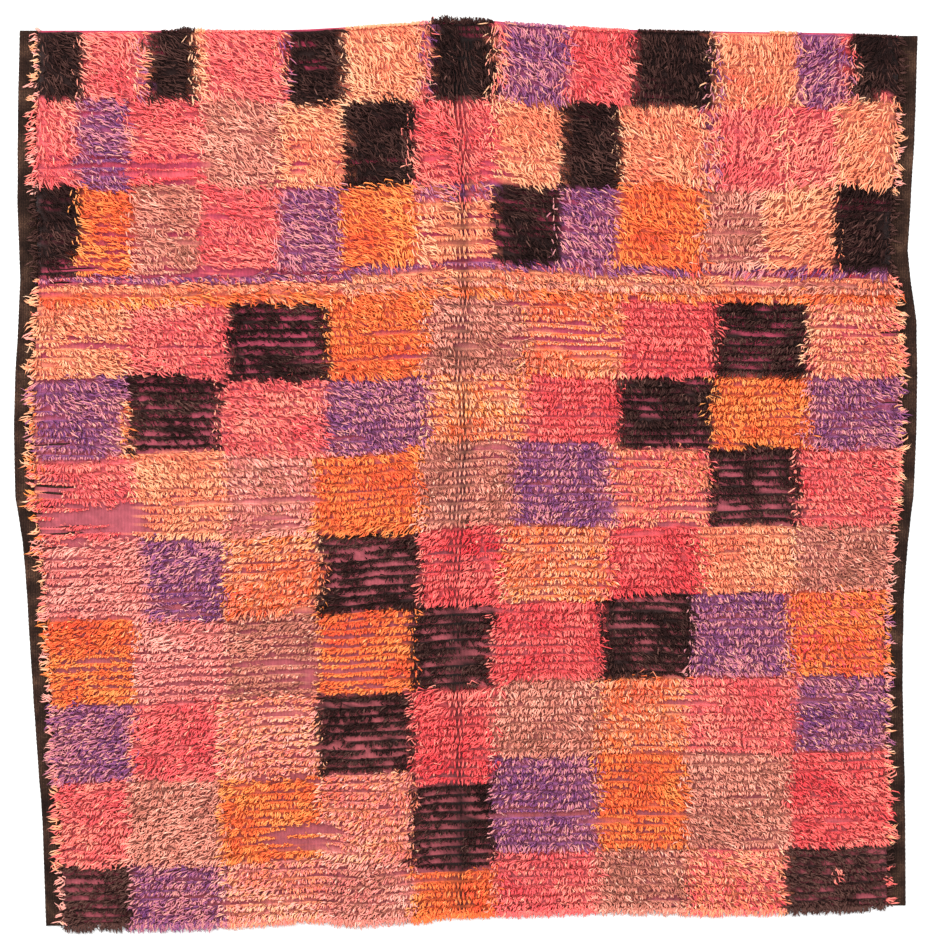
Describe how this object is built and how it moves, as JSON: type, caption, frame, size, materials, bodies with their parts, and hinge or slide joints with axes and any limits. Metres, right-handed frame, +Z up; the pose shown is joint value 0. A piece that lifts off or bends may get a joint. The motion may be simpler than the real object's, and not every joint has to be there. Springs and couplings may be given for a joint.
{
  "type": "moroccan rug",
  "caption": "Nearly square hand-knotted wool rug with long pile in checkered blocks and a dark goat-hair selvedge at each side, lying flat on a floor.",
  "frame": {"origin": "on the floor under the middle of the rug's outline", "axes": "+Z up out of the pile, +Y along the rug towards its head, which is the top of the picture, +X across the pile rows to the right"},
  "size_m": [1.898, 1.9346, 0.0231],
  "materials": {
    "pile_wool": "matt hand-spun wool, coral with apricot, orange, violet, rose-tan and black-brown blocks",
    "selvedge_hair": "matt dark brown goat hair in a plain weave"
  },
  "bodies": {
    "root": {"field": "pile_wool", "selvedge_left": "selvedge_hair", "selvedge_right": "selvedge_hair"}
  },
  "joints": []
}
